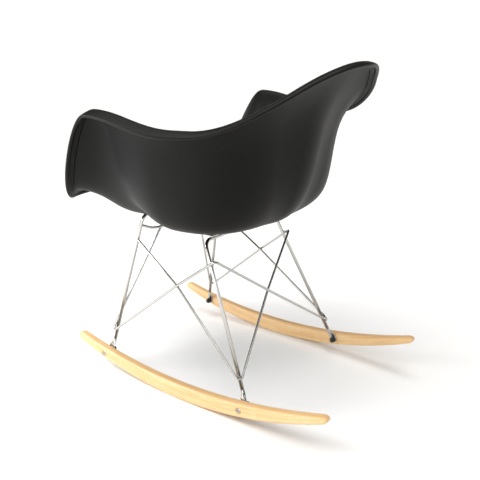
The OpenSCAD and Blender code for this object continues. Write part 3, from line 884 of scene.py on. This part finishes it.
def drill_rocker(piece, side):
    """Cuts the two bolt recesses, each with a small broken edge at its mouth."""
    for corner_name in CORNERS:
        centre, sign = bolt_axis(corner_name)
        if sign != side:
            continue
        profile = [
            (-BORE_DEPTH, BORE_R - 0.4), (-BORE_DEPTH + 0.4, BORE_R), (-0.7, BORE_R),
            (-0.35, BORE_R + 0.2), (0.0, BORE_R + 0.65), (2.0, BORE_R + 2.6),
        ]
        bag = Bag()
        bag.add_rings(lathe(profile, centre, sign)[::-1])
        mesh = bpy.data.meshes.new("cutter")
        mesh.from_pydata([tuple(p) for p in bag.points], [], bag.faces)
        cutter = bpy.data.objects.new("cutter", mesh)
        bpy.context.scene.collection.objects.link(cutter)
        cut = piece.modifiers.new("recess", "BOOLEAN")
        cut.operation = "DIFFERENCE"
        cut.solver = "EXACT"
        cut.object = cutter
        bpy.context.view_layer.update()
        done = bpy.data.meshes.new_from_object(
            piece.evaluated_get(bpy.context.evaluated_depsgraph_get())
        )
        piece.modifiers.clear()
        piece.data = done
        bpy.data.objects.remove(cutter)
    piece.data.set_sharp_from_angle(angle=math.radians(40))


# ---------- bolts, nuts and caps ----------
def build_bolt(corner_name):
    """A socket head bolt: a turned head with a rounded rim and a hexagon socket, on its shank."""
    low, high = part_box("rocker_bolt_" + corner_name)
    centre, sign = bolt_axis(corner_name)
    seat = -BORE_DEPTH
    tail = -abs((high.x - low.x)) / MM + (seat + 6.0)
    sides = 48
    angles = np.linspace(0, 2 * math.pi, sides, endpoint=False)
    off_flat = (angles + math.pi / 6) % (math.pi / 3) - math.pi / 6
    hexagon = 2.9 * math.cos(math.pi / 6) / np.cos(off_flat)
    turned = [
        (tail, 2.2), (tail + 0.8, 3.0), (seat, 3.0), (seat, 4.9), (seat + 0.3, 5.0),
        (seat + 5.3, 5.0), (seat + 5.8, 4.8), (seat + 6.0, 4.4),
    ]
    rings = list(lathe(turned, centre, sign, sides))
    for x, grow in ((seat + 6.0, 1.1), (seat + 5.75, 1.0), (seat + 2.9, 1.0), (seat + 2.6, 0.6)):
        ring = np.zeros((sides, 3))
        ring[:, 0] = centre[0] + sign * x * MM
        ring[:, 1] = centre[1] + hexagon * grow * MM * np.cos(angles) * sign
        ring[:, 2] = centre[2] + hexagon * grow * MM * np.sin(angles)
        rings.append(ring)
    bag = Bag()
    bag.add_rings(np.array(rings)[:, ::-1])
    piece = make_piece(
        "socket_bolt_" + corner_name, bag.points, bag.faces, "steel_hardware",
        ["rocker_bolt_" + corner_name],
    )
    piece.data.set_sharp_from_angle(angle=math.radians(35))
    return piece


def build_cap(corner_name):
    """The domed cap over the nut: a short skirt with a lip, then a dome."""
    low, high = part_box("nut_cap_" + corner_name)
    sign = 1 if "left" in corner_name else -1
    outer_x = high.x if sign > 0 else low.x
    centre = ((outer_x), (low.y + high.y) / 2, (low.z + high.z) / 2)
    r = (high.z - low.z) / 2 / MM
    depth = (high.x - low.x) / MM
    skirt = depth - r
    profile = [(-0.05, r - 1.6), (-0.05, r - 0.5), (-0.3, r - 0.05), (-1.4, r), (-1.9, r - 0.15), (-2.3, r - 0.6)]
    profile += [(-2.8, r - 0.75), (-skirt, r - 0.7)]
    dome = np.linspace(6, 86, 16)
    profile += [
        (-skirt - r * math.sin(math.radians(a)), (r - 0.7) * math.cos(math.radians(a))) for a in dome
    ]
    bag = Bag()
    bag.add_rings(lathe(profile, centre, sign, 48))
    piece = make_piece(
        "nut_cover_" + corner_name, bag.points, bag.faces, "cap_plastic", ["nut_cap_" + corner_name]
    )
    piece.data.set_sharp_from_angle(angle=math.radians(50))
    return piece


# ---------- CAD nodes that keep their shape ----------
def finish_cad_node(name, slot, width):
    """Gives a CAD node its material, a small broken edge and smooth shading."""
    node = frame["nodes"][name]
    node.data.materials.clear()
    node.data.materials.append(MATERIALS[slot])
    for polygon in node.data.polygons:
        polygon.material_index = 0
    node.data.shade_smooth()
    node.data.set_sharp_from_angle(angle=math.radians(32))
    merge = node.modifiers.new("join", "WELD")
    merge.merge_threshold = 1e-6
    bevel = node.modifiers.new("broken_edge", "BEVEL")
    bevel.width = width
    bevel.segments = 2
    bevel.limit_method = "ANGLE"
    bevel.angle_limit = math.radians(40)
    bevel.harden_normals = True


# ---------- stage ----------
def build_stage():
    mesh = bpy.data.meshes.new("floor")
    half = 60.0
    corners = [(-half, -half, 0), (half, -half, 0), (half, half, 0), (-half, half, 0)]
    mesh.from_pydata(corners, [], [(0, 1, 2, 3)])
    floor = bpy.data.objects.new("floor", mesh)
    bpy.context.scene.collection.objects.link(floor)
    s = Shader("pale_floor")
    mottle = s.noise(s.place(), 0.6, 2.0)
    s.set("Base Color", s.mix(mottle, (0.96, 0.96, 0.96), (0.975, 0.975, 0.97)))
    s.set("Roughness", 0.9)
    s.set("Specular IOR Level", 0.1)
    mesh.materials.append(s.mat)
    floor.location.z = -0.0006


def add_light(kind, name, at, aim, watts, colour, size):
    data = bpy.data.lights.new(name, kind)
    data.energy = watts
    data.color = colour
    if kind == "SUN":
        data.angle = math.radians(size)
    else:
        data.size = size
    light = bpy.data.objects.new(name, data)
    light.location = at
    light.rotation_euler = (Vector(aim) - Vector(at)).to_track_quat("-Z", "Y").to_euler()
    bpy.context.scene.collection.objects.link(light)


def build_lights():
    """A white floor under a soft overhead light, in a room that is darker above the horizon."""
    world = bpy.data.worlds.new("studio")
    world.use_nodes = True
    tree = world.node_tree
    sky = tree.nodes["Background"]
    where = tree.nodes.new("ShaderNodeTexCoord")
    split = tree.nodes.new("ShaderNodeSeparateXYZ")
    tree.links.new(where.outputs["Generated"], split.inputs[0])
    ramp = tree.nodes.new("ShaderNodeValToRGB")
    stops = ramp.color_ramp.elements
    stops[0].position, stops[0].color = 0.10, (1.15, 1.15, 1.15, 1)
    stops[1].position, stops[1].color = 0.32, (0.10, 0.097, 0.092, 1)
    tree.links.new(split.outputs["Z"], ramp.inputs["Fac"])
    tree.links.new(ramp.outputs["Color"], sky.inputs["Color"])
    sky.inputs["Strength"].default_value = 1.0
    bpy.context.scene.world = world
    add_light("SUN", "overhead", (0.4, -0.2, 4.0), (0, 0, 0), 3.0, (1.0, 0.99, 0.975), 70)
    add_light("AREA", "floor_pool", (1.1, -1.0, 1.0), (0.9, -0.9, 0), 26, (0.97, 0.99, 1.0), 0.9)
    add_light("AREA", "low_fill", (2.4, 0.5, 0.5), (-0.1, 0.0, 0.1), 14, (1.0, 0.98, 0.95), 1.2)
    bpy.context.scene.view_settings.view_transform = "Standard"


# ---------- camera ----------
CAMERA_AT = (1.056, 0.797, 0.722)  # m
CAMERA_YAW = 127.1  # degrees left of +Y
CAMERA_PITCH = -17.46
CAMERA_ROLL = -0.8
CAMERA_LENS = 47.0  # mm on a 36 mm sensor


def build_camera():
    data = bpy.data.cameras.new("camera")
    data.lens = CAMERA_LENS
    data.sensor_width = 36.0
    data.clip_end = 100
    camera = bpy.data.objects.new("camera", data)
    bpy.context.scene.collection.objects.link(camera)
    turn = (
        Matrix.Rotation(math.radians(CAMERA_YAW), 4, "Z")
        @ Matrix.Rotation(math.radians(90 + CAMERA_PITCH), 4, "X")
        @ Matrix.Rotation(math.radians(CAMERA_ROLL), 4, "Z")
    )
    camera.matrix_world = Matrix.Translation(CAMERA_AT) @ turn
    bpy.context.scene.camera = camera


# ---------- build ----------
build_camera()
build_lights()
build_stage()
build_shell()
build_leg_rod("front")
build_leg_rod("rear")
build_cross_rod()
for side in (1, -1):
    build_brace(side)
    build_rocker(side)
for corner_name in CORNERS:
    build_foot(corner_name)
    build_bolt(corner_name)
    build_cap(corner_name)
    finish_cad_node("shock_mount_" + corner_name, "mount_rubber", 0.0012)
    finish_cad_node("mount_plate_" + corner_name, "steel_hardware", 0.0004)
    finish_cad_node("mount_screw_" + corner_name, "steel_hardware", 0.0003)
    finish_cad_node("rocker_nut_" + corner_name, "steel_hardware", 0.0003)
